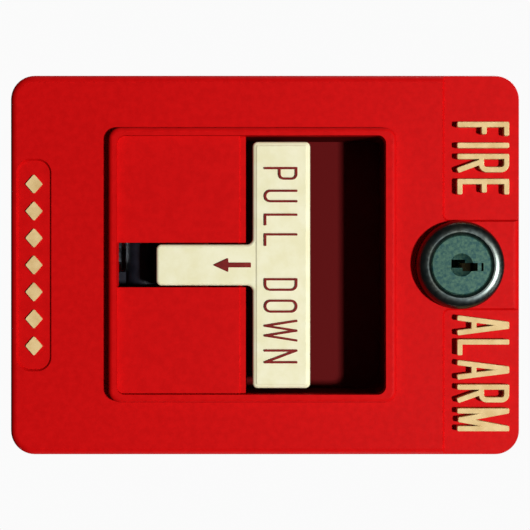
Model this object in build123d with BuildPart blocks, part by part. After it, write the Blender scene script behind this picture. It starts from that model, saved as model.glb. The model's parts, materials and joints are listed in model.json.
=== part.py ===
from build123d import *
import os

# Wall-mounted manual fire alarm station. Millimetres, +Z up, +X to the viewer's right.
# The origin is on the wall, midway between the two box-mounting holes. The front faces -Y, and
# "depth" is the distance in front of the wall: a point at depth d has y = -d.

# Front cover
COVER_WIDTH = 95.2
COVER_HEIGHT = 127.0
COVER_BACK = 0.4
COVER_CORNER = 7.0
COVER_DRAFT = 3.3
COVER_WALL = 2.3
FACE_DEPTH = 21.5
FACE_THICKNESS = 2.4
FRONT_EDGE_RADIUS = 1.8
FACE_BACK = FACE_DEPTH - FACE_THICKNESS

# Window, its raised rim, the side panels below and the finger pocket above
WINDOW_HALF_WIDTH = 31.4
WINDOW_BOTTOM = -36.0
WINDOW_TOP = 29.3
WINDOW_CORNER = 2.0
RIM_WIDTH = 2.0
RIM_TOP_WIDTH = 2.6
RIM_DEPTH = 24.4
RIM_CORNER = 3.0
RIM_EDGE_RADIUS = 1.1
PANEL_TOP = -4.7
PANEL_DEPTH = 22.6
PANEL_LIP = 1.3
PANEL_LIP_STEP = 0.3
PANEL_LIP_SLOPE = 45
POCKET_FLOOR = 8.0
POCKET_WALL = 2.0
STEM_SLOT_HALF_WIDTH = 5.45
STEM_SLOT_BACK = 18.9
GUARD_HALF_WIDTH = 7.5
GUARD_BOTTOM = -14.5

# Gussets inside the cover, beside the pocket
GUSSET_PLACES = [2.0, 24.0]
GUSSET_WIDTH = 1.4
GUSSET_REACH = 45.0
GUSSET_BACK_INNER = 8.0
GUSSET_BACK_OUTER = 12.0
GUSSET_ROOT = FACE_BACK + 1.0

# Lettering panels and badge recess
LETTER_PANEL_INNER = 11.1
LETTER_PANEL_BOTTOM = 43.95
LETTER_PANEL_STEP = 0.8
LETTER_PANEL_CORNER = 1.2
STEP_SLOPE = 35
BADGE_Z = -56.5
BADGE_WIDTH = 51.0
BADGE_HEIGHT = 7.6
BADGE_CORNER = 3.0
BADGE_STEP = 0.7
LOZENGE_COUNT = 7
LOZENGE_PITCH = 6.6
LOZENGE_WIDTH = 4.8
LOZENGE_HEIGHT = 4.2
LOZENGE_RAISE = 0.55
LOZENGE_CORNER = 0.3

# Raised words on the cover: height, stroke and each letter's left edge and width
WORD_BOTTOM = 46.8
WORD_HEIGHT = 12.7
WORD_STROKE = 1.3
WORD_RAISE = 1.9
WORD_SOFTEN = 0.36
WORD_ROUNDING = 0.18
LEFT_WORD = [("F", -34.9, 3.4), ("I", -29.9, 1.5), ("R", -27.1, 4.5), ("E", -21.0, 3.8)]
RIGHT_WORD = [("A", 12.3, 4.8), ("L", 18.1, 3.9), ("A", 23.2, 4.7), ("R", 29.1, 4.4), ("M", 34.9, 5.6)]

# Pull handle
BAR_HALF_WIDTH = 30.0
BAR_BOTTOM = -3.05
BAR_TOP = 11.0
STEM_HALF_WIDTH = 5.0
STEM_BOTTOM = -26.5
HANDLE_BACK = 19.4
STEM_FACE = 23.0
BAR_FACE = 23.2
BAR_EDGE_INSET = 0.75
BAR_EDGE_TAPER = 60
HANDLE_CORNER = 1.2
HANDLE_INNER_CORNER = 1.5
SAME_PLACE = 0.01
HANDLE_EDGE_RADIUS = 0.8
HANDLE_SCREW_HOLE = 1.13
HANDLE_SCREW_HOLE_DEPTH = 2.4
PULL_BOTTOM = -0.2
PULL_HEIGHT = 8.1
PULL_STROKE = 0.56
PULL_RAISE = 0.35
PULL_SOFTEN = 0.2
PULL_WORDS = [
    ("P", -23.8, 3.1),
    ("U", -18.3, 3.1),
    ("L", -12.5, 2.9),
    ("L", -7.7, 3.1),
    ("D", 3.2, 3.1),
    ("O", 8.4, 3.2),
    ("W", 13.3, 5.3),
    ("N", 20.5, 3.4),
]
ARROW_TIP = -12.7
ARROW_TOP = -3.4
ARROW_HEAD_LENGTH = 3.8
ARROW_HEAD_WIDTH = 3.5
ARROW_SHAFT = 1.2
ARROW_SOFTEN = 0.2

# Lever: hub on a cross pin in the cover, arm up to the handle, finger down to the switch
PIVOT_Z = -31.0
PIVOT_DEPTH = 10.5
HUB_RADIUS = 4.2
HUB_TO_ARM = 2.52
HUB_HALF_WIDTH = 6.4
ARM_HALF_WIDTH = 4.6
ARM_TOP = -7.6
ARM_BACK = 15.9
ARM_BOTTOM = -25.8
ARM_REAR_BOTTOM = -24.0
FINGER_REACH = 6.0
FINGER_HALF_THICKNESS = 1.5
FINGER_INNER = 1.8
PIN_RADIUS = 1.5
PIN_BORE = 1.53
HUB_BORE = 1.56
EAR_INNER = 7.0
EAR_OUTER = 9.5
EAR_RADIUS = 4.0
PIN_HEAD_RADIUS = 2.4
PIN_HEAD_WIDTH = 1.0
PIN_END = 11.0
PIN_CLIP_WIDTH = 0.6
PIN_CLIP_RADIUS = 2.8
HANDLE_SCREW_Z = [-20.5, -11.2]

# Hold spring, a leaf under the hub
SPRING_POST_BOTTOM = -51.0
SPRING_POST_TOP = -44.0
SPRING_POST_DEPTH = 13.0
SPRING_INNER = -5.6
SPRING_OUTER = -0.8
SPRING_THICKNESS = 0.5
SPRING_BEND_Z = -39.4
SPRING_TIP_Z = -36.2
SPRING_TIP_DEPTH = 9.6
SPRING_BEND_RADIUS = 2.0

# Wall plate
PLATE_THICKNESS = 1.2
PLATE_WIDTH = 88.0
PLATE_BOTTOM = -57.0
PLATE_TOP = 59.0
PLATE_CORNER = 5.0
MOUNT_SPACING = 83.3
MOUNT_HOLE_RADIUS = 2.2
WIRE_HOLE_HALF_WIDTH = 16.0
WIRE_HOLE_BOTTOM = -12.0
WIRE_HOLE_TOP = 22.0
WIRE_HOLE_CORNER = 4.0
PLATE_FLANGE_HEIGHT = 3.0
PLATE_FLANGE_BOTTOM = -28.0
PLATE_FLANGE_TOP = 48.0

# Cover hinge along the lower edge
HINGE_Z = -60.3
HINGE_DEPTH = 3.6
ROD_RADIUS = 1.25
ROD_HALF_LENGTH = 41.2
ROD_BORE = 1.31
ROD_END_GAP = 0.4
ROD_END_CHAMFER = 0.3
PLATE_EAR_INNER = 36.4
PLATE_EAR_OUTER = 37.6
PLATE_EAR_RADIUS = 2.4
PLATE_EAR_TOP = -51.0
PLATE_EAR_DEPTH = 6.0
LUG_INNER = 38.1
LUG_OUTER = 41.0
LUG_RADIUS = 3.0
LUG_RIB_DEPTH = 13.0
LUG_RIB_INSET = 2.4
EAR_SLOT_INNER = 35.2
EAR_SLOT_OUTER = 38.0
EAR_SLOT_DEPTH = 6.4
EAR_SLOT_HEIGHT = 7.0
ROD_CLIP_RADIUS = 2.2
ROD_CLIP_WIDTH = 0.6

# Key lock
LOCK_Z = 47.5
BEZEL_RADIUS = 10.8
BEZEL_DEPTH = 25.4
BEZEL_CROWN_RADIUS = 8.3
BEZEL_SKIRT = 0.6
BEZEL_LAND = 0.35
BEZEL_BEVEL = 0.7
BEZEL_TANGENTS = ((0, 1), (-1, 0.05))
THREAD_START = 9.0
THREAD_PITCH = 1.0
THREAD_TURNS = 9
THREAD_HEIGHT = 0.5
PLUG_SEAT_GAP = 0.05
BARREL_RADIUS = 8.0
BARREL_HOLE = 8.08
BARREL_BACK = 8.2
PLUG_HEAD_RADIUS = 7.3
PLUG_HEAD_RECESS = 7.36
PLUG_HEAD_BACK = 23.8
PLUG_FACE = 25.0
PLUG_RADIUS = 6.0
PLUG_BORE = 6.06
PLUG_CLIP_RADIUS = 7.2
PLUG_CLIP_DEPTH = 7.5
PLUG_CLIP_WIDTH = 0.65
PLUG_TAIL_RADIUS = 4.0
PLUG_TAIL_BACK = 5.2
PLUG_TIP_RADIUS = 3.0
PLUG_TIP_FLAT = 2.2
PLUG_BACK = 3.6
PLUG_HEAD_BEVEL = 0.3
DIMPLE_RADIUS = 2.8
DIMPLE_STEP = 1.3
DIMPLE_TANGENTS = ((-1, -0.9), (-1, -0.1))
CAM_SCREW_HOLE = 1.3
CAM_SCREW_HOLE_DEPTH = 5.0
KEYWAY_BACK = 12.0
KEYWAY_WIDTH = 2.0
KEYWAY_LOWER_X = -0.3
KEYWAY_LOWER_Z = -0.7
KEYWAY_LOWER_LENGTH = 3.4
KEYWAY_UPPER_X = 0.5
KEYWAY_UPPER_Z = 2.2
KEYWAY_UPPER_LENGTH = 3.6
KEYWAY_LEDGE = 1.3
KEYWAY_LEDGE_STEP = 0.7
WAFER_COUNT = 3
WAFER_PITCH = 2.0
WAFER_THICKNESS = 0.9
WAFER_FIRST_DEPTH = 13.0
WAFER_HEIGHT = 2.2
NUT_ACROSS_FLATS = 19.0
NUT_WIDTH = 3.0
NUT_SIDES = 6
LOCK_WASHER_RADIUS = 10.6
LOCK_WASHER_WIDTH = 0.8
CAM_FRONT = 5.2
CAM_BACK = 3.6
CAM_HALF_WIDTH = 4.0
CAM_REACH = 9.0
CAM_WASHER_RADIUS = 3.4
CAM_WASHER_WIDTH = 0.5
CAM_CORNER = 1.0
CATCH_HALF_WIDTH = 7.0
CATCH_FOOT_BOTTOM = 52.0
CATCH_RISER_BOTTOM = 57.0
CATCH_TOP = 58.2
CATCH_THICKNESS = 1.2
CATCH_LIP_BOTTOM = 53.0
CATCH_LIP_DEPTH = 6.0
CATCH_BEND_RADIUS = 1.1
RIVET_X = 4.6
RIVET_Z = 54.6
RIVET_RADIUS = 1.8
RIVET_HEIGHT = 0.8
RIVET_ROUNDING = 0.6

# Alarm switch on the plate, under the lever's finger
SWITCH_LEFT = -4.0
SWITCH_RIGHT = 18.0
SWITCH_BOTTOM = -37.2
SWITCH_TOP = -22.0
SWITCH_FACE = 5.8
SWITCH_CORNER = 1.0
SWITCH_CHAMFER = 0.4
PLUNGER_X = 4.1
PLUNGER_Z = -35.6
PLUNGER_RADIUS = 1.3
PLUNGER_BORE = 1.36
PLUNGER_TIP = 8.7
PLUNGER_BACK = 4.6
PLUNGER_ROUNDING = 1.23
SWITCH_CAVITY_BACK = 1.7
SWITCH_SCREW_PLACES = [(14.6, -34.0), (14.6, -25.2)]

# Screws: (radius, length) of each head and shank, the slots' widths and the holes round the shanks
FINE_SLOT = 0.6
WIDE_SLOT = 1.0
SLOT_SHARE = 0.5
HEAD_ROUNDING_SHARE = 0.4
SWITCH_SCREW_HEAD = (2.0, 1.3)
SWITCH_SCREW_SHANK = (1.1, 4.4)
TERMINAL_SCREW_HEAD = (1.9, 1.6)
TERMINAL_SCREW_SHANK = (1.1, 2.6)
EARTH_SCREW_HEAD = (3.6, 2.0)
EARTH_SCREW_SHANK = (2.1, 0.8)
HANDLE_SCREW_HEAD = (2.1, 1.4)
HANDLE_SCREW_SHANK = (1.1, 5.6)
SPRING_SCREW_SHANK = (1.1, 4.5)
CAM_SCREW_HEAD = (2.6, 1.3)
CAM_SCREW_SHANK = (1.25, 4.5)
SMALL_HOLE = 1.2
POST_HOLE = 1.15

# Terminal block on the plate, with the wire entries on its sides
BLOCK_LEFT = -34.0
BLOCK_RIGHT = -18.0
BLOCK_BOTTOM = -56.0
BLOCK_TOP = -36.0
BLOCK_FACE = 9.5
BLOCK_ROWS = [-39.5, -46.0, -52.5]
CAGE_LEFT = -29.5
CAGE_RIGHT = -22.5
CAGE_HALF_HEIGHT = 2.2
CAGE_BACK = 2.6
CAGE_FRONT = 6.6
BLOCK_SCREW_X = -26.0
BLOCK_BARRIER_WIDTH = 1.0
BLOCK_BARRIER_DEPTH = 11.5
BLOCK_CORNER = 0.8
BLOCK_SCREW_WELL = 2.0
BLOCK_SCREW_SEAT = 7.4
CAGE_WALL = 0.7

# Leads from the switch to the block
LEAD_RADIUS = 0.75
LEAD_BORE = 0.8
LEAD_DEPTH = 3.6
LEAD_INSERT = 3.0
UPPER_LEAD_Z = -26.5
UPPER_LEAD_X = -12.0
UPPER_LEAD_RADII = [5.9, 5.9]
LOWER_LEAD_Z = -33.0
LOWER_LEAD_X = -9.5
LOWER_LEAD_RADII = [5.4, 8.0]

# Earth terminal
EARTH_PLACE = (-28.0, 42.0)
EARTH_WASHER_SIDE = 8.4
EARTH_WASHER_CORNER = 0.8
EARTH_WASHER_HOLE = 2.2
EARTH_WASHER_THICKNESS = 0.8

# Strokes of each letter in a unit box, as (corner radius share, points)
CURVE_SHARE = 0.49
GLYPHS = {
    "A": [(0, [(0, 0), (0.42, 1), (0.58, 1), (1, 0)]), (0, [(0.15, 0.3), (0.85, 0.3)])],
    "D": [(1, [(0, 0), (1, 0), (1, 1), (0, 1)]), (0, [(0, 0), (0, 1)])],
    "E": [(0, [(1, 0), (0, 0), (0, 1), (1, 1)]), (0, [(0, 0.52), (0.82, 0.52)])],
    "F": [(0, [(0, 0), (0, 1), (1, 1)]), (0, [(0, 0.52), (0.82, 0.52)])],
    "I": [(0, [(0.5, 0), (0.5, 1)])],
    "L": [(0, [(0, 1), (0, 0), (1, 0)])],
    "M": [
        (0, [(0, 0), (0, 1)]),
        (0, [(0.03, 0.97), (0.5, 0.02)]),
        (0, [(0.5, 0.02), (0.97, 0.97)]),
        (0, [(1, 0), (1, 1)]),
    ],
    "N": [(0, [(0, 0), (0, 1)]), (0, [(0.04, 0.96), (0.96, 0.04)]), (0, [(1, 0), (1, 1)])],
    "O": [(1, [(0, 0.5), (0, 0), (1, 0), (1, 0.5)]), (1, [(0, 0.5), (0, 1), (1, 1), (1, 0.5)])],
    "P": [(0, [(0, 0), (0, 1)]), (0.85, [(0, 1), (1, 1), (1, 0.46), (0, 0.46)])],
    "R": [
        (0, [(0, 0), (0, 1)]),
        (0.85, [(0, 1), (1, 1), (1, 0.46), (0, 0.46)]),
        (0, [(0.4, 0.46), (1, 0)]),
    ],
    "U": [(1, [(0, 1), (0, 0), (1, 0), (1, 1)])],
    "W": [
        (0, [(0, 1), (0.25, 0)]),
        (0, [(0.25, 0), (0.5, 1)]),
        (0, [(0.5, 1), (0.75, 0)]),
        (0, [(0.75, 0), (1, 1)]),
    ],
}


def wall_plane(depth):
    """Plane parallel to the wall at this depth: local x is X, local y is Z, normal to the front."""
    return Plane.XZ.offset(depth)


def side_plane(x):
    """Plane square to X at this x: local x is Z, local y is depth, normal +X."""
    return Plane(origin=(x, 0, 0), x_dir=(0, 0, 1), z_dir=(1, 0, 0))


def level_plane(z):
    """Plane square to Z at this height: local x is X, local y is depth, normal -Z."""
    return Plane(origin=(0, 0, z), x_dir=(1, 0, 0), z_dir=(0, 0, -1))


LOCK_AXIS = Axis((0, 0, LOCK_Z), (0, 1, 0))


def stroke_line(points, radius, extra):
    """Centre line of one stroke through the points, run on by extra at both open ends."""
    corners = [Vector(*point) for point in points]
    corners[0] += (corners[0] - corners[1]).normalized() * extra
    corners[-1] += (corners[-1] - corners[-2]).normalized() * extra
    if radius:
        return FilletPolyline(*corners, radius=radius)
    return Polyline(*corners)


def letter_lines(words, bottom, height, stroke, soften):
    """Centre lines of every stroke of the letters, inside each letter's own box."""
    lines = []
    for letter, left, width in words:
        across = width - stroke
        rise = height - stroke
        for share, shape in GLYPHS[letter]:
            placed = [(left + stroke / 2 + u * across, bottom + stroke / 2 + v * rise) for u, v in shape]
            lines.append(stroke_line(placed, CURVE_SHARE * across * share, stroke / 2 - soften))
    return lines


def raised_letters(label, words, bottom, height, stroke, floor, raise_by, soften, rounding=0):
    """Separate raised letters standing on a floor at the given depth.

    soften is the radius of the strokes' corners, rounding that of the edges of the faces.
    """
    lines = letter_lines(words, bottom, height, stroke, soften)
    with BuildPart() as letters:
        with BuildSketch(wall_plane(floor)):
            for line in lines:
                trace(line, line_width=stroke - 2 * soften)
            offset(amount=soften)
        extrude(amount=raise_by)
        if rounding:
            fillet(letters.faces().group_by(Axis.Y)[0].edges(), rounding)
    letters.part.label = label
    export_step(letters.part, f"parts/{label}.step")


def slotted_screws(label, places, seat, facing, head, shank, slot):
    """Pan-head screws on a seat plane: facing 1 puts the heads to the front, -1 to the wall.

    head and shank are (radius, length) pairs.
    """
    with BuildPart() as screws:
        with BuildSketch(wall_plane(seat)):
            with Locations(*places):
                Circle(shank[0])
        extrude(amount=-facing * shank[1])
        with BuildSketch(wall_plane(seat)):
            with Locations(*places):
                Circle(head[0])
        extrude(amount=facing * head[1])
        rims = screws.edges().filter_by(GeomType.CIRCLE).group_by(Axis.Y)[0 if facing > 0 else -1]
        fillet(rims, head[1] * HEAD_ROUNDING_SHARE)
        with BuildSketch(wall_plane(seat + facing * head[1])):
            with Locations(*places):
                Rectangle(head[0] * 3, slot)
        extrude(amount=-facing * head[1] * SLOT_SHARE, mode=Mode.SUBTRACT)
    screws.part.label = label
    export_step(screws.part, f"parts/{label}.step")


os.makedirs("parts", exist_ok=True)

# Back plate: sheet steel with the box holes, the wire opening, side flanges and the hinge ears
with BuildPart() as back_plate:
    with BuildSketch(wall_plane(0)):
        with Locations((0, (PLATE_TOP + PLATE_BOTTOM) / 2)):
            RectangleRounded(PLATE_WIDTH, PLATE_TOP - PLATE_BOTTOM, PLATE_CORNER)
        with GridLocations(0, MOUNT_SPACING, 1, 2):
            Circle(MOUNT_HOLE_RADIUS, mode=Mode.SUBTRACT)
        with Locations((0, (WIRE_HOLE_TOP + WIRE_HOLE_BOTTOM) / 2)):
            RectangleRounded(
                2 * WIRE_HOLE_HALF_WIDTH,
                WIRE_HOLE_TOP - WIRE_HOLE_BOTTOM,
                WIRE_HOLE_CORNER,
                mode=Mode.SUBTRACT,
            )
    extrude(amount=PLATE_THICKNESS)
    for side in (-1, 1):
        with BuildSketch(wall_plane(0)):
            with Locations(
                (side * (PLATE_WIDTH - PLATE_THICKNESS) / 2, (PLATE_FLANGE_TOP + PLATE_FLANGE_BOTTOM) / 2)
            ):
                Rectangle(PLATE_THICKNESS, PLATE_FLANGE_TOP - PLATE_FLANGE_BOTTOM)
        extrude(amount=PLATE_FLANGE_HEIGHT)
    for ear_x in (-PLATE_EAR_OUTER, PLATE_EAR_INNER):
        with BuildSketch(side_plane(ear_x)):
            with Locations((HINGE_Z, HINGE_DEPTH)):
                Circle(PLATE_EAR_RADIUS)
            with BuildLine():
                Polyline(
                    (HINGE_Z, HINGE_DEPTH - PLATE_EAR_RADIUS),
                    (PLATE_BOTTOM, 0),
                    (PLATE_EAR_TOP, 0),
                    (PLATE_EAR_TOP, PLATE_THICKNESS),
                    (PLATE_BOTTOM, PLATE_EAR_DEPTH),
                    (HINGE_Z, HINGE_DEPTH + PLATE_EAR_RADIUS),
                    close=True,
                )
            make_face()
            with Locations((HINGE_Z, HINGE_DEPTH)):
                Circle(ROD_BORE, mode=Mode.SUBTRACT)
        extrude(amount=PLATE_EAR_OUTER - PLATE_EAR_INNER)
back_plate.part.label = "back_plate"
export_step(back_plate.part, "parts/back_plate.step")

# Hinge rod and its two push-on clips
with BuildPart() as hinge_rod:
    with BuildSketch(side_plane(-ROD_HALF_LENGTH)):
        with Locations((HINGE_Z, HINGE_DEPTH)):
            Circle(ROD_RADIUS)
    extrude(amount=2 * ROD_HALF_LENGTH)
    chamfer(hinge_rod.edges().filter_by(GeomType.CIRCLE), ROD_END_CHAMFER)
hinge_rod.part.label = "hinge_rod"
export_step(hinge_rod.part, "parts/hinge_rod.step")

with BuildPart() as hinge_rod_clips:
    for clip_x in (-PLATE_EAR_INNER, PLATE_EAR_INNER - ROD_CLIP_WIDTH):
        with BuildSketch(side_plane(clip_x)):
            with Locations((HINGE_Z, HINGE_DEPTH)):
                Circle(ROD_CLIP_RADIUS)
                Circle(ROD_RADIUS, mode=Mode.SUBTRACT)
        extrude(amount=ROD_CLIP_WIDTH)
hinge_rod_clips.part.label = "hinge_rod_clips"
export_step(hinge_rod_clips.part, "parts/hinge_rod_clips.step")

# Catch: a folded bracket riveted to the plate, whose lip the lock's cam turns behind
with BuildPart() as lock_catch:
    with BuildSketch(side_plane(-CATCH_HALF_WIDTH)):
        with BuildLine():
            Polyline(
                (CATCH_FOOT_BOTTOM, PLATE_THICKNESS),
                (CATCH_TOP, PLATE_THICKNESS),
                (CATCH_TOP, CATCH_LIP_DEPTH + CATCH_THICKNESS),
                (CATCH_LIP_BOTTOM, CATCH_LIP_DEPTH + CATCH_THICKNESS),
                (CATCH_LIP_BOTTOM, CATCH_LIP_DEPTH),
                (CATCH_RISER_BOTTOM, CATCH_LIP_DEPTH),
                (CATCH_RISER_BOTTOM, PLATE_THICKNESS + CATCH_THICKNESS),
                (CATCH_FOOT_BOTTOM, PLATE_THICKNESS + CATCH_THICKNESS),
                close=True,
            )
        make_face()
    extrude(amount=2 * CATCH_HALF_WIDTH)
    fillet(lock_catch.edges().filter_by(Axis.X).sort_by(Axis.Z)[-2:], CATCH_BEND_RADIUS)
lock_catch.part.label = "lock_catch"
export_step(lock_catch.part, "parts/lock_catch.step")

with BuildPart() as catch_rivets:
    with BuildSketch(wall_plane(PLATE_THICKNESS + CATCH_THICKNESS)):
        with Locations((-RIVET_X, RIVET_Z), (RIVET_X, RIVET_Z)):
            Circle(RIVET_RADIUS)
    extrude(amount=RIVET_HEIGHT)
    fillet(catch_rivets.edges().group_by(Axis.Y)[0], RIVET_ROUNDING)
catch_rivets.part.label = "catch_rivets"
export_step(catch_rivets.part, "parts/catch_rivets.step")

# Switch: case with a stepped bore for the plunger and the two lead entries on its left side
with BuildPart() as switch_case:
    with BuildSketch(wall_plane(PLATE_THICKNESS)):
        with Locations(((SWITCH_LEFT + SWITCH_RIGHT) / 2, (SWITCH_TOP + SWITCH_BOTTOM) / 2)):
            RectangleRounded(SWITCH_RIGHT - SWITCH_LEFT, SWITCH_TOP - SWITCH_BOTTOM, SWITCH_CORNER)
    extrude(amount=SWITCH_FACE - PLATE_THICKNESS)
    chamfer(switch_case.faces().sort_by(Axis.Y)[0].edges(), SWITCH_CHAMFER)
    with BuildSketch(wall_plane(SWITCH_CAVITY_BACK)):
        with Locations((PLUNGER_X, PLUNGER_Z)):
            Circle(PLUNGER_BORE)
    extrude(amount=SWITCH_FACE, mode=Mode.SUBTRACT)
    with BuildSketch(wall_plane(SWITCH_FACE)):
        with Locations(*SWITCH_SCREW_PLACES):
            Circle(SWITCH_SCREW_SHANK[0])
    extrude(amount=-SWITCH_FACE, mode=Mode.SUBTRACT)
switch_case.part.label = "switch_case"
export_step(switch_case.part, "parts/switch_case.step")

slotted_screws(
    "switch_screws", SWITCH_SCREW_PLACES, SWITCH_FACE, 1, SWITCH_SCREW_HEAD, SWITCH_SCREW_SHANK, FINE_SLOT
)

with BuildPart() as switch_plunger:
    with BuildSketch(wall_plane(PLUNGER_BACK)):
        with Locations((PLUNGER_X, PLUNGER_Z)):
            Circle(PLUNGER_RADIUS)
    extrude(amount=PLUNGER_TIP - PLUNGER_BACK)
    fillet(switch_plunger.edges().filter_by(GeomType.CIRCLE).sort_by(Axis.Y)[0], PLUNGER_ROUNDING)
switch_plunger.part.label = "switch_plunger"
export_step(switch_plunger.part, "parts/switch_plunger.step")

# Terminal block: moulded body with barriers, a cage and a clamp screw in each row
with BuildPart() as terminal_block:
    with BuildSketch(wall_plane(PLATE_THICKNESS)):
        with Locations(((BLOCK_LEFT + BLOCK_RIGHT) / 2, (BLOCK_TOP + BLOCK_BOTTOM) / 2)):
            RectangleRounded(BLOCK_RIGHT - BLOCK_LEFT, BLOCK_TOP - BLOCK_BOTTOM, BLOCK_CORNER)
    extrude(amount=BLOCK_FACE - PLATE_THICKNESS)
    barrier_rows = [(a + b) / 2 for a, b in zip(BLOCK_ROWS[:-1], BLOCK_ROWS[1:])]
    with BuildSketch(wall_plane(BLOCK_FACE)):
        with Locations(*[((BLOCK_LEFT + BLOCK_RIGHT) / 2, row) for row in barrier_rows]):
            Rectangle(BLOCK_RIGHT - BLOCK_LEFT, BLOCK_BARRIER_WIDTH)
    extrude(amount=BLOCK_BARRIER_DEPTH - BLOCK_FACE)
    for row in BLOCK_ROWS:
        with BuildSketch(wall_plane(CAGE_BACK)):
            with Locations(((CAGE_LEFT + CAGE_RIGHT) / 2, row)):
                Rectangle(CAGE_RIGHT - CAGE_LEFT, 2 * CAGE_HALF_HEIGHT)
        extrude(amount=CAGE_FRONT - CAGE_BACK, mode=Mode.SUBTRACT)
        with BuildSketch(wall_plane(CAGE_FRONT)):
            with Locations((BLOCK_SCREW_X, row)):
                Circle(BLOCK_SCREW_WELL)
        extrude(amount=BLOCK_FACE - CAGE_FRONT, mode=Mode.SUBTRACT)
        with BuildSketch(side_plane(BLOCK_LEFT)):
            with Locations((row, LEAD_DEPTH)):
                Circle(LEAD_BORE)
        extrude(amount=BLOCK_RIGHT - BLOCK_LEFT, mode=Mode.SUBTRACT)
terminal_block.part.label = "terminal_block"
export_step(terminal_block.part, "parts/terminal_block.step")

with BuildPart() as terminal_cages:
    for row in BLOCK_ROWS:
        with BuildSketch(side_plane(CAGE_LEFT)):
            with Locations((row, (CAGE_FRONT + CAGE_BACK) / 2)):
                Rectangle(2 * CAGE_HALF_HEIGHT, CAGE_FRONT - CAGE_BACK)
                Rectangle(
                    2 * (CAGE_HALF_HEIGHT - CAGE_WALL),
                    CAGE_FRONT - CAGE_BACK - 2 * CAGE_WALL,
                    mode=Mode.SUBTRACT,
                )
        extrude(amount=CAGE_RIGHT - CAGE_LEFT)
        with BuildSketch(wall_plane(CAGE_FRONT)):
            with Locations((BLOCK_SCREW_X, row)):
                Circle(SMALL_HOLE)
        extrude(amount=-2 * CAGE_WALL, mode=Mode.SUBTRACT)
terminal_cages.part.label = "terminal_cages"
export_step(terminal_cages.part, "parts/terminal_cages.step")

slotted_screws(
    "terminal_screws",
    [(BLOCK_SCREW_X, row) for row in BLOCK_ROWS],
    BLOCK_SCREW_SEAT,
    1,
    TERMINAL_SCREW_HEAD,
    TERMINAL_SCREW_SHANK,
    FINE_SLOT,
)


def make_lead(label, start_z, drop_x, end_z, radii):
    """An insulated lead from the switch's left side, down beside the block and into its row."""
    route = FilletPolyline(
        (SWITCH_LEFT, -LEAD_DEPTH, start_z),
        (drop_x, -LEAD_DEPTH, start_z),
        (drop_x, -LEAD_DEPTH, end_z),
        (BLOCK_RIGHT - LEAD_INSERT, -LEAD_DEPTH, end_z),
        radius=radii,
    )
    with BuildPart() as lead:
        with BuildSketch(Plane(origin=route @ 0, z_dir=route % 0)):
            Circle(LEAD_RADIUS)
        sweep(path=route)
    print(label, "length", round(route.length, 2), "radii", radii, "volume", round(lead.part.volume, 3))
    lead.part.label = label
    export_step(lead.part, f"parts/{label}.step")


make_lead("upper_lead", UPPER_LEAD_Z, UPPER_LEAD_X, BLOCK_ROWS[1], UPPER_LEAD_RADII)
make_lead("lower_lead", LOWER_LEAD_Z, LOWER_LEAD_X, BLOCK_ROWS[2], LOWER_LEAD_RADII)

# Earth terminal: a cup washer under a binding screw
with BuildPart() as earth_washer:
    with BuildSketch(wall_plane(PLATE_THICKNESS)):
        with Locations(EARTH_PLACE):
            RectangleRounded(EARTH_WASHER_SIDE, EARTH_WASHER_SIDE, EARTH_WASHER_CORNER)
            Circle(EARTH_WASHER_HOLE, mode=Mode.SUBTRACT)
    extrude(amount=EARTH_WASHER_THICKNESS)
earth_washer.part.label = "earth_washer"
export_step(earth_washer.part, "parts/earth_washer.step")

slotted_screws(
    "earth_screw",
    [EARTH_PLACE],
    PLATE_THICKNESS + EARTH_WASHER_THICKNESS,
    1,
    EARTH_SCREW_HEAD,
    EARTH_SCREW_SHANK,
    WIDE_SLOT,
)

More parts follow.
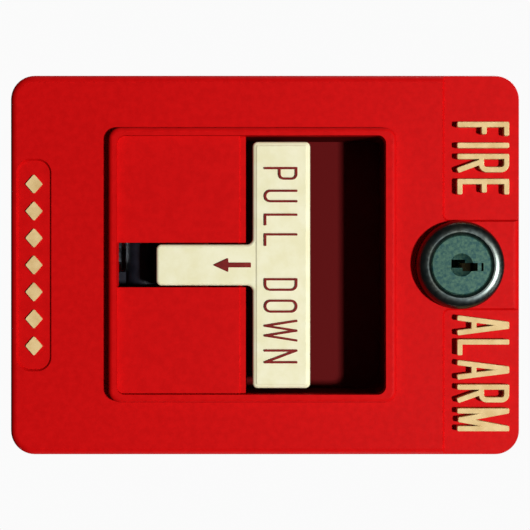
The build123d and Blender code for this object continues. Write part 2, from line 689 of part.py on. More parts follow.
# Front cover: drafted shell with the window rim, side panels, finger pocket, panels and fixings
with BuildPart() as front_cover:
    with BuildSketch(wall_plane(COVER_BACK)):
        RectangleRounded(COVER_WIDTH, COVER_HEIGHT, COVER_CORNER)
    extrude(amount=FACE_DEPTH - COVER_BACK, taper=COVER_DRAFT)
    fillet(front_cover.faces().sort_by(Axis.Y)[0].edges(), FRONT_EDGE_RADIUS)
    with BuildSketch(wall_plane(COVER_BACK)):
        RectangleRounded(
            COVER_WIDTH - 2 * COVER_WALL, COVER_HEIGHT - 2 * COVER_WALL, COVER_CORNER - COVER_WALL
        )
    extrude(amount=FACE_BACK - COVER_BACK, taper=COVER_DRAFT, mode=Mode.SUBTRACT)

    # Letter panels, open to the outer edges
    for side in (-1, 1):
        panel_width = COVER_WIDTH / 2 - LETTER_PANEL_INNER + COVER_CORNER
        panel_height = COVER_HEIGHT / 2 - LETTER_PANEL_BOTTOM + COVER_CORNER
        with BuildSketch(wall_plane(FACE_DEPTH - LETTER_PANEL_STEP)):
            with Locations(
                (side * (LETTER_PANEL_INNER + panel_width / 2), LETTER_PANEL_BOTTOM + panel_height / 2)
            ):
                RectangleRounded(panel_width, panel_height, LETTER_PANEL_CORNER)
        extrude(amount=LETTER_PANEL_STEP * 2, taper=-STEP_SLOPE, mode=Mode.SUBTRACT)

    # Badge recess
    with BuildSketch(wall_plane(FACE_DEPTH - BADGE_STEP)):
        with Locations((0, BADGE_Z)):
            RectangleRounded(BADGE_WIDTH, BADGE_HEIGHT, BADGE_CORNER)
    extrude(amount=BADGE_STEP * 2, taper=-STEP_SLOPE, mode=Mode.SUBTRACT)

    # Rim of the window
    with BuildSketch(wall_plane(FACE_BACK)):
        with Locations((0, (WINDOW_TOP + RIM_TOP_WIDTH + WINDOW_BOTTOM - RIM_WIDTH) / 2)):
            RectangleRounded(
                2 * (WINDOW_HALF_WIDTH + RIM_WIDTH),
                WINDOW_TOP + RIM_TOP_WIDTH - WINDOW_BOTTOM + RIM_WIDTH,
                RIM_CORNER,
            )
    extrude(amount=RIM_DEPTH - FACE_BACK)
    fillet(front_cover.faces().sort_by(Axis.Y)[0].edges(), RIM_EDGE_RADIUS)

    # Finger pocket
    with BuildSketch(wall_plane(POCKET_FLOOR - POCKET_WALL)):
        with Locations((0, (WINDOW_TOP + PANEL_TOP) / 2)):
            RectangleRounded(
                2 * (WINDOW_HALF_WIDTH + POCKET_WALL), WINDOW_TOP - PANEL_TOP + 2 * POCKET_WALL, RIM_CORNER
            )
    extrude(amount=FACE_BACK - POCKET_FLOOR + POCKET_WALL)
    with BuildSketch(wall_plane(PANEL_DEPTH)):
        with Locations((0, (WINDOW_TOP + WINDOW_BOTTOM) / 2)):
            RectangleRounded(2 * WINDOW_HALF_WIDTH, WINDOW_TOP - WINDOW_BOTTOM, WINDOW_CORNER)
    extrude(amount=RIM_DEPTH - PANEL_DEPTH, mode=Mode.SUBTRACT)
    with BuildSketch(wall_plane(POCKET_FLOOR)):
        with Locations((0, (WINDOW_TOP + PANEL_TOP) / 2)):
            Rectangle(2 * WINDOW_HALF_WIDTH, WINDOW_TOP - PANEL_TOP)
        fillet(vertices().sort_by(Axis.Y)[-2:], WINDOW_CORNER)
    extrude(amount=PANEL_DEPTH - POCKET_FLOOR, mode=Mode.SUBTRACT)
    with BuildSketch(wall_plane(PANEL_DEPTH - PANEL_LIP_STEP)):
        with Locations((0, PANEL_TOP - PANEL_LIP / 2)):
            Rectangle(2 * (WINDOW_HALF_WIDTH - PANEL_LIP_STEP), PANEL_LIP)
    extrude(amount=PANEL_LIP_STEP, taper=-PANEL_LIP_SLOPE, mode=Mode.SUBTRACT)

    # Guard behind the stem slot, closing the view through it to the wire opening
    with BuildSketch(wall_plane(POCKET_FLOOR - POCKET_WALL)):
        with Locations((0, (GUARD_BOTTOM + PANEL_TOP) / 2)):
            Rectangle(2 * GUARD_HALF_WIDTH, PANEL_TOP - GUARD_BOTTOM)
    extrude(amount=POCKET_WALL)

    # Slot for the handle's stem
    with BuildSketch(wall_plane(STEM_SLOT_BACK)):
        with Locations((0, (PANEL_TOP + WINDOW_BOTTOM) / 2)):
            Rectangle(2 * STEM_SLOT_HALF_WIDTH, PANEL_TOP - WINDOW_BOTTOM)
    extrude(amount=RIM_DEPTH - STEM_SLOT_BACK - RIM_EDGE_RADIUS, mode=Mode.SUBTRACT)

    # Gussets from the pocket to the side walls
    for gusset_z in GUSSET_PLACES:
        for side in (-1, 1):
            with BuildSketch(level_plane(gusset_z)):
                with BuildLine():
                    Polyline(
                        (side * WINDOW_HALF_WIDTH, GUSSET_ROOT),
                        (side * GUSSET_REACH, GUSSET_ROOT),
                        (side * GUSSET_REACH, GUSSET_BACK_OUTER),
                        (side * WINDOW_HALF_WIDTH, GUSSET_BACK_INNER),
                        close=True,
                    )
                make_face()
            extrude(amount=GUSSET_WIDTH)

    # Ears for the lever pin
    for ear_x in (-EAR_OUTER, EAR_INNER):
        with BuildSketch(side_plane(ear_x)):
            with Locations((PIVOT_Z, PIVOT_DEPTH)):
                Circle(EAR_RADIUS)
            with Locations((PIVOT_Z, (PIVOT_DEPTH + FACE_BACK) / 2)):
                Rectangle(2 * EAR_RADIUS, FACE_BACK - PIVOT_DEPTH)
            with Locations((PIVOT_Z, PIVOT_DEPTH)):
                Circle(PIN_BORE, mode=Mode.SUBTRACT)
        extrude(amount=EAR_OUTER - EAR_INNER)

    # Post for the hold spring
    with BuildSketch(wall_plane(SPRING_POST_DEPTH)):
        with Locations(((SPRING_INNER + SPRING_OUTER) / 2, (SPRING_POST_TOP + SPRING_POST_BOTTOM) / 2)):
            Rectangle(SPRING_OUTER - SPRING_INNER, SPRING_POST_TOP - SPRING_POST_BOTTOM)
            Circle(POST_HOLE, mode=Mode.SUBTRACT)
    extrude(amount=FACE_BACK - SPRING_POST_DEPTH)

    # Lower wall cut back behind the hinge axis, slotted for the plate's ears, with the hinge lugs
    with BuildSketch(wall_plane(0)):
        with Locations((0, HINGE_Z - COVER_CORNER)):
            Rectangle(2 * COVER_WIDTH, 2 * COVER_CORNER)
    extrude(amount=HINGE_DEPTH, mode=Mode.SUBTRACT)
    for side in (-1, 1):
        with BuildSketch(wall_plane(0)):
            with Locations((side * (EAR_SLOT_INNER + EAR_SLOT_OUTER) / 2, HINGE_Z)):
                Rectangle(EAR_SLOT_OUTER - EAR_SLOT_INNER, EAR_SLOT_HEIGHT)
        extrude(amount=EAR_SLOT_DEPTH, mode=Mode.SUBTRACT)
    for lug_x in (-LUG_OUTER, LUG_INNER):
        with BuildSketch(side_plane(lug_x)):
            with Locations((HINGE_Z, HINGE_DEPTH)):
                Circle(LUG_RADIUS)
            with BuildLine():
                Polyline(
                    (HINGE_Z + LUG_RADIUS, HINGE_DEPTH),
                    (HINGE_Z - LUG_RADIUS, HINGE_DEPTH),
                    (HINGE_Z - LUG_RIB_INSET, LUG_RIB_DEPTH),
                    close=True,
                )
            make_face()
        extrude(amount=LUG_OUTER - LUG_INNER)
    with BuildSketch(side_plane(-ROD_HALF_LENGTH - ROD_END_GAP)):
        with Locations((HINGE_Z, HINGE_DEPTH)):
            Circle(ROD_BORE)
    extrude(amount=2 * (ROD_HALF_LENGTH + ROD_END_GAP), mode=Mode.SUBTRACT)

    # Hole for the lock
    with BuildSketch(wall_plane(FACE_BACK)):
        with Locations((0, LOCK_Z)):
            Circle(BARREL_HOLE)
    extrude(amount=FACE_THICKNESS, mode=Mode.SUBTRACT)
front_cover.part.label = "front_cover"
export_step(front_cover.part, "parts/front_cover.step")

# Raised words each side of the lock
letter_floor = FACE_DEPTH - LETTER_PANEL_STEP
for label, word in (("left_lettering", LEFT_WORD), ("right_lettering", RIGHT_WORD)):
    raised_letters(
        label,
        word,
        WORD_BOTTOM,
        WORD_HEIGHT,
        WORD_STROKE,
        letter_floor,
        WORD_RAISE,
        WORD_SOFTEN,
        WORD_ROUNDING,
    )

# Plain row of lozenges in the badge recess
with BuildPart() as badge_lozenges:
    with BuildSketch(wall_plane(FACE_DEPTH - BADGE_STEP)):
        with Locations((0, BADGE_Z)):
            with GridLocations(LOZENGE_PITCH, 0, LOZENGE_COUNT, 1):
                Polygon(
                    (-LOZENGE_WIDTH / 2, 0),
                    (0, -LOZENGE_HEIGHT / 2),
                    (LOZENGE_WIDTH / 2, 0),
                    (0, LOZENGE_HEIGHT / 2),
                )
        fillet(vertices(), LOZENGE_CORNER)
    extrude(amount=LOZENGE_RAISE)
badge_lozenges.part.label = "badge_lozenges"
export_step(badge_lozenges.part, "parts/badge_lozenges.step")

# Pull handle: T-shaped moulding, its bar standing a little proud of the stem, with two blind
# screw holes in its back
with BuildPart() as pull_handle:
    with BuildSketch(wall_plane(HANDLE_BACK)):
        with Locations((0, (BAR_TOP + BAR_BOTTOM) / 2)):
            RectangleRounded(2 * BAR_HALF_WIDTH, BAR_TOP - BAR_BOTTOM, HANDLE_CORNER)
        with Locations((0, (BAR_BOTTOM + STEM_BOTTOM) / 2 + HANDLE_CORNER)):
            RectangleRounded(
                2 * STEM_HALF_WIDTH, BAR_BOTTOM - STEM_BOTTOM + 2 * HANDLE_CORNER, HANDLE_CORNER
            )
        inner_corners = [
            corner
            for corner in vertices()
            if abs(abs(corner.X) - STEM_HALF_WIDTH) < SAME_PLACE
            and abs(corner.Y - BAR_BOTTOM) < SAME_PLACE
        ]
        fillet(inner_corners, HANDLE_INNER_CORNER)
    extrude(amount=STEM_FACE - HANDLE_BACK)
    fillet(pull_handle.faces().sort_by(Axis.Y)[0].edges(), HANDLE_EDGE_RADIUS)
    with BuildSketch(wall_plane(STEM_FACE)):
        with Locations((0, (BAR_TOP + BAR_BOTTOM) / 2)):
            RectangleRounded(
                2 * (BAR_HALF_WIDTH - BAR_EDGE_INSET),
                BAR_TOP - BAR_BOTTOM - 2 * BAR_EDGE_INSET,
                HANDLE_CORNER / 2,
            )
    extrude(amount=BAR_FACE - STEM_FACE, taper=BAR_EDGE_TAPER)
    with BuildSketch(wall_plane(HANDLE_BACK)):
        with Locations(*[(0, z) for z in HANDLE_SCREW_Z]):
            Circle(HANDLE_SCREW_HOLE)
    extrude(amount=HANDLE_SCREW_HOLE_DEPTH, mode=Mode.SUBTRACT)
pull_handle.part.label = "pull_handle"
export_step(pull_handle.part, "parts/pull_handle.step")

raised_letters(
    "pull_lettering", PULL_WORDS, PULL_BOTTOM, PULL_HEIGHT, PULL_STROKE, BAR_FACE, PULL_RAISE, PULL_SOFTEN
)

with BuildPart() as pull_arrow:
    with BuildSketch(wall_plane(STEM_FACE)):
        Polygon(
            (0, ARROW_TIP),
            (ARROW_HEAD_WIDTH / 2, ARROW_TIP + ARROW_HEAD_LENGTH),
            (ARROW_SHAFT / 2, ARROW_TIP + ARROW_HEAD_LENGTH),
            (ARROW_SHAFT / 2, ARROW_TOP),
            (-ARROW_SHAFT / 2, ARROW_TOP),
            (-ARROW_SHAFT / 2, ARROW_TIP + ARROW_HEAD_LENGTH),
            (-ARROW_HEAD_WIDTH / 2, ARROW_TIP + ARROW_HEAD_LENGTH),
            align=None,
        )
        fillet(vertices(), ARROW_SOFTEN)
    extrude(amount=PULL_RAISE)
    fillet(pull_arrow.faces().sort_by(Axis.Y)[0].edges(), ARROW_SOFTEN / 2)
pull_arrow.part.label = "pull_arrow"
export_step(pull_arrow.part, "parts/pull_arrow.step")

# Lever arm: hub, arm behind the handle's stem and the finger that works the switch
with BuildPart() as lever_arm:
    with BuildSketch(side_plane(-ARM_HALF_WIDTH)):
        with BuildLine():
            Polyline(
                (ARM_TOP, HANDLE_BACK),
                (ARM_BOTTOM, HANDLE_BACK),
                (PIVOT_Z + HUB_TO_ARM, PIVOT_DEPTH + HUB_TO_ARM),
                (PIVOT_Z + HUB_TO_ARM, PIVOT_DEPTH - HUB_TO_ARM),
                (ARM_REAR_BOTTOM, ARM_BACK),
                (ARM_TOP, ARM_BACK),
                close=True,
            )
        make_face()
    extrude(amount=2 * ARM_HALF_WIDTH)
    with BuildSketch(side_plane(-HUB_HALF_WIDTH)):
        with Locations((PIVOT_Z, PIVOT_DEPTH)):
            Circle(HUB_RADIUS)
    extrude(amount=2 * HUB_HALF_WIDTH)
    with BuildSketch(side_plane(FINGER_INNER)):
        with Locations((PIVOT_Z - FINGER_REACH / 2, PIVOT_DEPTH)):
            Rectangle(FINGER_REACH, 2 * FINGER_HALF_THICKNESS)
    extrude(amount=HUB_HALF_WIDTH - FINGER_INNER)
    with BuildSketch(side_plane(-HUB_HALF_WIDTH)):
        with Locations((PIVOT_Z, PIVOT_DEPTH)):
            Circle(HUB_BORE)
    extrude(amount=2 * HUB_HALF_WIDTH, mode=Mode.SUBTRACT)
    with BuildSketch(wall_plane(ARM_BACK)):
        with Locations(*[(0, z) for z in HANDLE_SCREW_Z]):
            Circle(SMALL_HOLE)
    extrude(amount=HANDLE_BACK - ARM_BACK, mode=Mode.SUBTRACT)
lever_arm.part.label = "lever_arm"
export_step(lever_arm.part, "parts/lever_arm.step")

slotted_screws(
    "handle_screws",
    [(0, z) for z in HANDLE_SCREW_Z],
    ARM_BACK,
    -1,
    HANDLE_SCREW_HEAD,
    HANDLE_SCREW_SHANK,
    FINE_SLOT,
)

# Lever pin, headed at the left and clipped at the right
with BuildPart() as lever_pin:
    with BuildSketch(side_plane(-EAR_OUTER)):
        with Locations((PIVOT_Z, PIVOT_DEPTH)):
            Circle(PIN_RADIUS)
    extrude(amount=EAR_OUTER + PIN_END)
    with BuildSketch(side_plane(-EAR_OUTER)):
        with Locations((PIVOT_Z, PIVOT_DEPTH)):
            Circle(PIN_HEAD_RADIUS)
    extrude(amount=-PIN_HEAD_WIDTH)
lever_pin.part.label = "lever_pin"
export_step(lever_pin.part, "parts/lever_pin.step")

with BuildPart() as lever_pin_clip:
    with BuildSketch(side_plane(EAR_OUTER)):
        with Locations((PIVOT_Z, PIVOT_DEPTH)):
            Circle(PIN_CLIP_RADIUS)
            Circle(PIN_RADIUS, mode=Mode.SUBTRACT)
        with Locations((PIVOT_Z - PIN_HEAD_RADIUS, PIVOT_DEPTH)):
            Rectangle(2 * PIN_HEAD_RADIUS, PIN_RADIUS, mode=Mode.SUBTRACT)
    extrude(amount=PIN_CLIP_WIDTH)
lever_pin_clip.part.label = "lever_pin_clip"
export_step(lever_pin_clip.part, "parts/lever_pin_clip.step")

# Hold spring: a bent leaf screwed to the post, its tip under the hub
with BuildPart() as hold_spring:
    with BuildSketch(side_plane(SPRING_INNER)):
        with BuildLine():
            FilletPolyline(
                (SPRING_POST_BOTTOM, SPRING_POST_DEPTH),
                (SPRING_BEND_Z, SPRING_POST_DEPTH),
                (SPRING_TIP_Z, SPRING_TIP_DEPTH),
                radius=SPRING_BEND_RADIUS,
            )
            offset(amount=SPRING_THICKNESS, side=Side.RIGHT, closed=True)
        make_face()
    extrude(amount=SPRING_OUTER - SPRING_INNER)
    with BuildSketch(wall_plane(SPRING_POST_DEPTH)):
        with Locations(((SPRING_INNER + SPRING_OUTER) / 2, (SPRING_POST_TOP + SPRING_POST_BOTTOM) / 2)):
            Circle(SMALL_HOLE)
    extrude(amount=-2 * SPRING_THICKNESS, mode=Mode.SUBTRACT)
hold_spring.part.label = "hold_spring"
export_step(hold_spring.part, "parts/hold_spring.step")

slotted_screws(
    "hold_spring_screw",
    [((SPRING_INNER + SPRING_OUTER) / 2, (SPRING_POST_TOP + SPRING_POST_BOTTOM) / 2)],
    SPRING_POST_DEPTH - SPRING_THICKNESS,
    -1,
    HANDLE_SCREW_HEAD,
    SPRING_SCREW_SHANK,
    FINE_SLOT,
)

# Lock barrel: domed bezel outside the face, grooved body behind it for the nut
thread_line = []
for turn in range(THREAD_TURNS):
    groove_depth = THREAD_START + turn * THREAD_PITCH
    thread_line.append((BARREL_RADIUS, groove_depth))
    thread_line.append((BARREL_RADIUS - THREAD_HEIGHT, groove_depth + THREAD_PITCH / 2))
thread_line.append((BARREL_RADIUS, THREAD_START + THREAD_TURNS * THREAD_PITCH))

with BuildPart() as lock_barrel:
    with BuildSketch(level_plane(LOCK_Z)):
        with BuildLine():
            Polyline(
                (PLUG_BORE, PLUG_HEAD_BACK - PLUG_SEAT_GAP),
                (PLUG_BORE, BARREL_BACK),
                (BARREL_RADIUS - THREAD_HEIGHT, BARREL_BACK),
                *thread_line,
                (BARREL_RADIUS, FACE_DEPTH),
                (BEZEL_RADIUS, FACE_DEPTH),
                (BEZEL_RADIUS, FACE_DEPTH + BEZEL_SKIRT),
            )
            Spline(
                (BEZEL_RADIUS, FACE_DEPTH + BEZEL_SKIRT),
                (BEZEL_CROWN_RADIUS, BEZEL_DEPTH),
                tangents=BEZEL_TANGENTS,
            )
            Polyline(
                (BEZEL_CROWN_RADIUS, BEZEL_DEPTH),
                (BEZEL_CROWN_RADIUS - BEZEL_LAND, BEZEL_DEPTH),
                (PLUG_HEAD_RECESS, BEZEL_DEPTH - BEZEL_BEVEL),
                (PLUG_HEAD_RECESS, PLUG_HEAD_BACK - PLUG_SEAT_GAP),
                (PLUG_BORE, PLUG_HEAD_BACK - PLUG_SEAT_GAP),
            )
        make_face()
    revolve(axis=LOCK_AXIS)
lock_barrel.part.label = "lock_barrel"
export_step(lock_barrel.part, "parts/lock_barrel.step")

with BuildPart() as lock_washer:
    with BuildSketch(wall_plane(FACE_BACK - LOCK_WASHER_WIDTH)):
        with Locations((0, LOCK_Z)):
            Circle(LOCK_WASHER_RADIUS)
            Circle(BARREL_HOLE, mode=Mode.SUBTRACT)
    extrude(amount=LOCK_WASHER_WIDTH)
lock_washer.part.label = "lock_washer"
export_step(lock_washer.part, "parts/lock_washer.step")

with BuildPart() as lock_nut:
    with BuildSketch(wall_plane(FACE_BACK - LOCK_WASHER_WIDTH - NUT_WIDTH)):
        with Locations((0, LOCK_Z)):
            RegularPolygon(NUT_ACROSS_FLATS / 2, NUT_SIDES, major_radius=False)
            Circle(BARREL_HOLE, mode=Mode.SUBTRACT)
    extrude(amount=NUT_WIDTH)
lock_nut.part.label = "lock_nut"
export_step(lock_nut.part, "parts/lock_nut.step")

# Lock plug: head with a central dimple and a stepped keyway, its tail cut for the clip and cam
with BuildPart() as lock_plug:
    with BuildSketch(level_plane(LOCK_Z)):
        with BuildLine():
            Polyline(
                (0, PLUG_BACK),
                (PLUG_TIP_RADIUS, PLUG_BACK),
                (PLUG_TIP_RADIUS, PLUG_TAIL_BACK),
                (PLUG_TAIL_RADIUS, PLUG_TAIL_BACK),
                (PLUG_TAIL_RADIUS, PLUG_CLIP_DEPTH + PLUG_CLIP_WIDTH),
                (PLUG_RADIUS, PLUG_CLIP_DEPTH + PLUG_CLIP_WIDTH),
                (PLUG_RADIUS, PLUG_HEAD_BACK),
                (PLUG_HEAD_RADIUS, PLUG_HEAD_BACK),
                (PLUG_HEAD_RADIUS, PLUG_FACE - PLUG_HEAD_BEVEL),
                (PLUG_HEAD_RADIUS - PLUG_HEAD_BEVEL, PLUG_FACE),
                (DIMPLE_RADIUS, PLUG_FACE),
            )
            Spline(
                (DIMPLE_RADIUS, PLUG_FACE),
                (0, PLUG_FACE - DIMPLE_STEP),
                tangents=DIMPLE_TANGENTS,
            )
            Line((0, PLUG_FACE - DIMPLE_STEP), (0, PLUG_BACK))
        make_face()
    revolve(axis=LOCK_AXIS)
    with BuildSketch(wall_plane(PLUG_BACK)):
        for side in (-1, 1):
            with Locations((0, LOCK_Z + side * (PLUG_TIP_FLAT + PLUG_TIP_RADIUS / 2))):
                Rectangle(2 * PLUG_TIP_RADIUS, PLUG_TIP_RADIUS)
    extrude(amount=PLUG_TAIL_BACK - PLUG_BACK, mode=Mode.SUBTRACT)
    with BuildSketch(wall_plane(KEYWAY_BACK)):
        with Locations((KEYWAY_LOWER_X, LOCK_Z + KEYWAY_LOWER_Z)):
            Rectangle(KEYWAY_WIDTH, KEYWAY_LOWER_LENGTH)
        with Locations((KEYWAY_UPPER_X, LOCK_Z + KEYWAY_UPPER_Z)):
            Rectangle(KEYWAY_WIDTH, KEYWAY_UPPER_LENGTH)
    extrude(amount=PLUG_FACE - KEYWAY_BACK, mode=Mode.SUBTRACT)
    with BuildSketch(wall_plane(PLUG_FACE - KEYWAY_LEDGE_STEP)):
        with Locations(
            (KEYWAY_LOWER_X, LOCK_Z + KEYWAY_LOWER_Z - (KEYWAY_LOWER_LENGTH + KEYWAY_LEDGE) / 2),
            (KEYWAY_UPPER_X, LOCK_Z + KEYWAY_UPPER_Z + (KEYWAY_UPPER_LENGTH + KEYWAY_LEDGE) / 2),
        ):
            Rectangle(KEYWAY_WIDTH, KEYWAY_LEDGE)
    extrude(amount=KEYWAY_LEDGE_STEP, mode=Mode.SUBTRACT)
    with BuildSketch(wall_plane(PLUG_BACK)):
        with Locations((0, LOCK_Z)):
            Circle(CAM_SCREW_HOLE)
    extrude(amount=CAM_SCREW_HOLE_DEPTH, mode=Mode.SUBTRACT)
lock_plug.part.label = "lock_plug"
export_step(lock_plug.part, "parts/lock_plug.step")

# Wafers: brass plates one behind another in the keyway
with BuildPart() as lock_wafers:
    for index in range(WAFER_COUNT):
        with BuildSketch(wall_plane(WAFER_FIRST_DEPTH + index * WAFER_PITCH)):
            with Locations((KEYWAY_UPPER_X, LOCK_Z + KEYWAY_UPPER_Z)):
                Rectangle(KEYWAY_WIDTH, WAFER_HEIGHT)
        extrude(amount=WAFER_THICKNESS)
lock_wafers.part.label = "lock_wafers"
export_step(lock_wafers.part, "parts/lock_wafers.step")

with BuildPart() as plug_clip:
    with BuildSketch(wall_plane(PLUG_CLIP_DEPTH)):
        with Locations((0, LOCK_Z)):
            Circle(PLUG_CLIP_RADIUS)
            Circle(PLUG_TAIL_RADIUS, mode=Mode.SUBTRACT)
        with Locations((0, LOCK_Z - PLUG_CLIP_RADIUS)):
            Rectangle(PLUG_TAIL_RADIUS, PLUG_CLIP_RADIUS, mode=Mode.SUBTRACT)
    extrude(amount=PLUG_CLIP_WIDTH)
plug_clip.part.label = "plug_clip"
export_step(plug_clip.part, "parts/plug_clip.step")

# Cam, washer and screw on the plug's tail
with BuildPart() as lock_cam:
    with BuildSketch(wall_plane(CAM_BACK)):
        with Locations((0, LOCK_Z)):
            Circle(CAM_HALF_WIDTH)
        with Locations((CAM_REACH / 2, LOCK_Z)):
            Rectangle(CAM_REACH, 2 * CAM_HALF_WIDTH)
        fillet(vertices().sort_by(Axis.X)[-2:], CAM_CORNER)
        with BuildSketch(mode=Mode.PRIVATE) as tail_hole:
            with Locations((0, LOCK_Z)):
                Circle(PLUG_TIP_RADIUS)
                Rectangle(2 * PLUG_TIP_RADIUS, 2 * PLUG_TIP_FLAT, mode=Mode.INTERSECT)
        add(tail_hole.sketch, mode=Mode.SUBTRACT)
    extrude(amount=CAM_FRONT - CAM_BACK)
lock_cam.part.label = "lock_cam"
export_step(lock_cam.part, "parts/lock_cam.step")

with BuildPart() as cam_washer:
    with BuildSketch(wall_plane(CAM_BACK - CAM_WASHER_WIDTH)):
        with Locations((0, LOCK_Z)):
            Circle(CAM_WASHER_RADIUS)
            Circle(CAM_SCREW_HOLE, mode=Mode.SUBTRACT)
    extrude(amount=CAM_WASHER_WIDTH)
cam_washer.part.label = "cam_washer"
export_step(cam_washer.part, "parts/cam_washer.step")

slotted_screws(
    "cam_screw", [(0, LOCK_Z)], CAM_BACK - CAM_WASHER_WIDTH, -1, CAM_SCREW_HEAD, CAM_SCREW_SHANK, FINE_SLOT
)
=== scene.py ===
import json

import bpy
from mathutils import Matrix, Vector


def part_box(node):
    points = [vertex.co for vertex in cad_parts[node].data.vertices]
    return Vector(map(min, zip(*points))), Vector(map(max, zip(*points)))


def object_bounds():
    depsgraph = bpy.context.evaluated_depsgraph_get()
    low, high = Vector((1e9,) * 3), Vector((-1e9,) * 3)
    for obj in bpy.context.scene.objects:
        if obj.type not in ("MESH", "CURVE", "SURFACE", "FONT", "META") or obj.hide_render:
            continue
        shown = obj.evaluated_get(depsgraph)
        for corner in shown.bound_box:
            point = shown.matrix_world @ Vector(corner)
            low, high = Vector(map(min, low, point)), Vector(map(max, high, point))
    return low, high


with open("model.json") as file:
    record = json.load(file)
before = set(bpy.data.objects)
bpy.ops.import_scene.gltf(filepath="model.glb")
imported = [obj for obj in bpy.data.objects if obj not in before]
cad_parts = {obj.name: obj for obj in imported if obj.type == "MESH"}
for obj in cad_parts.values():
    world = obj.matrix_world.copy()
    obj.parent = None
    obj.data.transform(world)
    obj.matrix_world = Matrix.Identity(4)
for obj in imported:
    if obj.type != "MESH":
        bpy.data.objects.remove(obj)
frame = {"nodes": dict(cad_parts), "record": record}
size_at_load = [list(corner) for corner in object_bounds()]
scene = bpy.context.scene

# Camera: square on to the cover, its picture turned a quarter turn clockwise
CAMERA_GAP = 0.2975
CAMERA_LENS = 83.5
CAMERA_SENSOR = 36
CAMERA_NEAR = 0.01

# Area lights: direction from the object, distance and side in metres, power in watts
LIGHTS = {
    "key": ((0.10, -0.84, 0.53), 1.2, 0.10, 16.5),
    "top_card": ((0.35, -0.30, 0.88), 1.0, 0.35, 0.9),
    "rear_fill": ((-0.50, 0.75, 0.45), 1.2, 0.60, 12.0),
    "right_fill": ((0.95, 0.26, 0.15), 1.2, 0.50, 6.0),
    "left_fill": ((-0.95, 0.26, 0.15), 1.2, 0.50, 5.0),
}
FLOOR_DROP = 0.14
FLOOR_SIDE = 1.2
FLOOR_COLOUR = (0.82, 0.82, 0.80, 1)
FLOOR_ROUGHNESS = 0.9
SURROUND_COLOUR = (1, 1, 1, 1)
SURROUND = 0.96
AMBIENT_COLOUR = (0.88, 0.92, 1, 1)
AMBIENT = 0.03

# Finish of each material slot: colours between which it varies, the roughness it varies between,
# metallic share, grain per metre, height of the grain in metres and specular level
FINISHES = {
    "cover_red": ((0.53, 0.0022, 0.0026), (0.59, 0.003, 0.0034), (0.5, 0.62), 0, 3600, 1.2e-5, 0.05),
    "handle_ivory": ((0.80, 0.76, 0.49), (0.85, 0.82, 0.58), (0.38, 0.48), 0, 1500, 5e-6, 0.12),
    "lettering_cream": ((0.64, 0.44, 0.19), (0.76, 0.56, 0.27), (0.45, 0.6), 0, 1800, 8e-6, 0.12),
    "print_red": ((0.15, 0.008, 0.007), (0.23, 0.016, 0.012), (0.5, 0.65), 0, 2400, 6e-6, 0.15),
    "lever_black": ((0.004, 0.005, 0.009), (0.010, 0.011, 0.018), (0.5, 0.62), 0, 2200, 1.2e-5, 0.2),
    "bezel_metal": ((0.075, 0.095, 0.095), (0.115, 0.130, 0.112), (0.28, 0.36), 1, 1200, 1e-6, 0.5),
    "plug_metal": ((0.010, 0.050, 0.050), (0.048, 0.108, 0.074), (0.38, 0.55), 0.45, 9000, 9e-6, 0.25),
    "brass": ((0.60, 0.42, 0.16), (0.80, 0.60, 0.28), (0.22, 0.36), 1, 900, 4e-6, 0.5),
    "zinc_steel": ((0.58, 0.60, 0.62), (0.68, 0.70, 0.72), (0.34, 0.46), 0.8, 900, 3e-6, 0.5),
    "spring_steel": ((0.26, 0.28, 0.32), (0.42, 0.44, 0.47), (0.25, 0.4), 1, 700, 3e-6, 0.5),
    "block_black": ((0.016, 0.016, 0.018), (0.032, 0.032, 0.036), (0.4, 0.55), 0, 1600, 8e-6, 0.4),
    "switch_grey": ((0.14, 0.145, 0.15), (0.20, 0.205, 0.21), (0.4, 0.5), 0, 1800, 6e-6, 0.4),
    "plunger_white": ((0.74, 0.74, 0.71), (0.82, 0.82, 0.80), (0.24, 0.3), 0, 900, 2e-6, 0.5),
    "lead_red": ((0.42, 0.014, 0.014), (0.52, 0.022, 0.022), (0.42, 0.55), 0, 1200, 4e-6, 0.4),
    "lead_dark": ((0.018, 0.018, 0.022), (0.034, 0.034, 0.04), (0.42, 0.55), 0, 1200, 4e-6, 0.4),
    "earth_green": ((0.03, 0.16, 0.06), (0.07, 0.26, 0.10), (0.3, 0.42), 0.6, 800, 3e-6, 0.5),
}

# Noise: how many times coarser the mottle is than the grain, (detail, roughness) of each, and the
# stretch of each noise's values over which the colour or the roughness changes
MOTTLE_COARSER = 6
MOTTLE_DETAIL = (4.0, 0.6)
FINE_DETAIL = (2.0, 0.5)
TINT_RANGE = (0.36, 0.64)
SHEEN_RANGE = (0.35, 0.65)

# Painted shade in the finger pocket, standing in for the window rim's shadow: its colour, how far
# past the boxes of its openings that reaches, and the distance over which it fades out
POCKET_SHADE_COLOUR = (0.10, 0.0025, 0.003, 1)
POCKET_SHADE_MARGIN = 0.0016
POCKET_SHADE_FADE = 0.0005

# Sockets of the Mix node that take its two colours, and the one that gives the mixed colour
MIX_FROM, MIX_TO, MIX_RESULT = 6, 7, 2


def add(tree, kind, **values):
    """A new shader node with these input values."""
    made = tree.nodes.new(kind)
    for name, value in values.items():
        made.inputs[name].default_value = value
    return made


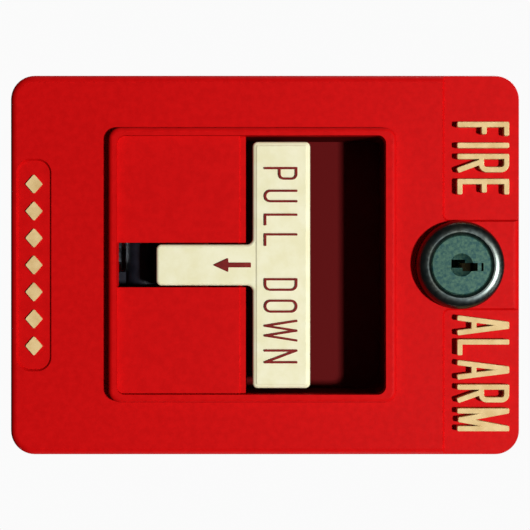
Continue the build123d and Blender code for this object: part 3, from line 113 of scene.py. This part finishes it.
def finish_material(slot, dark, light, roughness, metallic, grain, height, specular):
    """The material of one slot, varied by noise laid out in the object's own frame."""
    made = bpy.data.materials.new(slot)
    made.use_nodes = True
    tree = made.node_tree
    link = tree.links.new
    surface = tree.nodes["Principled BSDF"]
    surface.inputs["Metallic"].default_value = metallic
    surface.inputs["Specular IOR Level"].default_value = specular
    place = tree.nodes.new("ShaderNodeTexCoord")
    detail, fall = MOTTLE_DETAIL
    mottle = add(tree, "ShaderNodeTexNoise", Scale=grain / MOTTLE_COARSER, Detail=detail, Roughness=fall)
    detail, fall = FINE_DETAIL
    fine = add(tree, "ShaderNodeTexNoise", Scale=grain, Detail=detail, Roughness=fall)
    for noise in (mottle, fine):
        link(place.outputs["Object"], noise.inputs["Vector"])
    tint = tree.nodes.new("ShaderNodeValToRGB")
    low, high = tint.color_ramp.elements
    low.position, high.position = TINT_RANGE
    low.color, high.color = (*dark, 1), (*light, 1)
    link(mottle.outputs[0], tint.inputs[0])
    link(tint.outputs[0], surface.inputs["Base Color"])
    sheen = tree.nodes.new("ShaderNodeMapRange")
    sheen.inputs["From Min"].default_value, sheen.inputs["From Max"].default_value = SHEEN_RANGE
    sheen.inputs["To Min"].default_value, sheen.inputs["To Max"].default_value = roughness
    link(fine.outputs[0], sheen.inputs["Value"])
    link(sheen.outputs[0], surface.inputs["Roughness"])
    relief = add(tree, "ShaderNodeBump", Strength=1.0, Distance=height)
    link(fine.outputs[0], relief.inputs["Height"])
    link(relief.outputs[0], surface.inputs["Normal"])
    return made


def inside(tree, value, low, high, fade):
    """A factor of 1 where value is between low and high, falling to 0 over fade at both ends."""
    rise = tree.nodes.new("ShaderNodeMapRange")
    fall = tree.nodes.new("ShaderNodeMapRange")
    for ramp, start, end in ((rise, low - fade, low), (fall, high + fade, high)):
        ramp.inputs["From Min"].default_value = start
        ramp.inputs["From Max"].default_value = end
        tree.links.new(value, ramp.inputs["Value"])
    both = tree.nodes.new("ShaderNodeMath")
    both.operation = "MULTIPLY"
    tree.links.new(rise.outputs[0], both.inputs[0])
    tree.links.new(fall.outputs[0], both.inputs[1])
    return both.outputs[0]


def paint_pocket_shade(made, low, high):
    """Paints the pocket's shade into the material's colour between the two corners."""
    tree = made.node_tree
    place = tree.nodes.new("ShaderNodeTexCoord")
    axes = tree.nodes.new("ShaderNodeSeparateXYZ")
    tree.links.new(place.outputs["Object"], axes.inputs[0])
    parts = [inside(tree, axes.outputs[i], low[i], high[i], POCKET_SHADE_FADE) for i in range(3)]
    for i in (1, 2):
        joined = tree.nodes.new("ShaderNodeMath")
        joined.operation = "MULTIPLY"
        tree.links.new(parts[0], joined.inputs[0])
        tree.links.new(parts[i], joined.inputs[1])
        parts[0] = joined.outputs[0]
    colour = tree.nodes["Principled BSDF"].inputs["Base Color"]
    mix = tree.nodes.new("ShaderNodeMix")
    mix.data_type = "RGBA"
    tree.links.new(parts[0], mix.inputs[0])
    tree.links.new(colour.links[0].from_socket, mix.inputs[MIX_FROM])
    mix.inputs[MIX_TO].default_value = POCKET_SHADE_COLOUR
    tree.links.new(mix.outputs[MIX_RESULT], colour)


# Every CAD piece keeps its shape and takes its slot's finish
materials = {slot: finish_material(slot, *finish) for slot, finish in FINISHES.items()}
for part in frame["record"]["subparts"]:
    piece = frame["nodes"][part["node"]].data
    piece.materials.clear()
    piece.materials.append(materials[part["material_slot"]])

pocket = {o["name"]: o["box_m"] for o in frame["record"]["physics"]["openings"]}
pocket_shade_low = [a - POCKET_SHADE_MARGIN for a in pocket["behind_handle"][0]]
pocket_shade_high = [
    max(a, b) + POCKET_SHADE_MARGIN for a, b in zip(pocket["behind_handle"][1], pocket["finger_pocket"][1])
]
# Painted shade: the cover's red turns dark inside the finger pocket, in place of the rim's shadow
paint_pocket_shade(materials["cover_red"], pocket_shade_low, pocket_shade_high)

# Stage: pale floor below, pale surround
lowest, highest = (Vector(corner) for corner in size_at_load)
centre = (lowest + highest) / 2
half = FLOOR_SIDE / 2
floor_mesh = bpy.data.meshes.new("floor")
floor_z = lowest.z - FLOOR_DROP
corners = [(-half, -half, floor_z), (half, -half, floor_z), (half, half, floor_z), (-half, half, floor_z)]
floor_mesh.from_pydata(corners, [], [(0, 1, 2, 3)])
floor = bpy.data.objects.new("floor", floor_mesh)
scene.collection.objects.link(floor)
floor_look = bpy.data.materials.new("floor_pale")
floor_look.use_nodes = True
floor_surface = floor_look.node_tree.nodes["Principled BSDF"]
floor_surface.inputs["Base Color"].default_value = FLOOR_COLOUR
floor_surface.inputs["Roughness"].default_value = FLOOR_ROUGHNESS
floor_mesh.materials.append(floor_look)
# The floor sends no light back up, so that the shadows on the cover stay deep
floor.visible_diffuse = False
floor.visible_glossy = False

# The surround is bright where the camera sees it and dim as a light
world = bpy.data.worlds.new("surround")
scene.world = world
world.use_nodes = True
sky = world.node_tree
seen = sky.nodes["Background"]
seen.inputs["Color"].default_value = SURROUND_COLOUR
seen.inputs["Strength"].default_value = SURROUND
unseen = add(sky, "ShaderNodeBackground", Color=AMBIENT_COLOUR, Strength=AMBIENT)
choice = sky.nodes.new("ShaderNodeMixShader")
rays = sky.nodes.new("ShaderNodeLightPath")
sky.links.new(rays.outputs["Is Camera Ray"], choice.inputs[0])
sky.links.new(unseen.outputs[0], choice.inputs[1])
sky.links.new(seen.outputs[0], choice.inputs[2])
sky.links.new(choice.outputs[0], sky.nodes["World Output"].inputs["Surface"])

for name, (direction, distance, side, power) in LIGHTS.items():
    lamp = bpy.data.lights.new(name, "AREA")
    lamp.size = side
    lamp.energy = power
    light = bpy.data.objects.new(name, lamp)
    outward = Vector(direction).normalized()
    facing = outward.to_track_quat("Z", "Y").to_matrix().to_4x4()
    light.matrix_world = Matrix.Translation(centre + outward * distance) @ facing
    scene.collection.objects.link(light)

cover_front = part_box("front_cover")[0].y
eye = bpy.data.cameras.new("view")
eye.lens = CAMERA_LENS
eye.sensor_width = CAMERA_SENSOR
eye.clip_start = CAMERA_NEAR
camera = bpy.data.objects.new("view", eye)
scene.collection.objects.link(camera)
# Columns: the picture's right is up the wall, its top is to the left, its back is off the wall
turned = Matrix(((0, -1, 0), (0, 0, -1), (1, 0, 0)))
camera.matrix_world = Matrix.Translation((0, cover_front - CAMERA_GAP, 0)) @ turned.to_4x4()
scene.camera = camera
scene.view_settings.view_transform = "Standard"
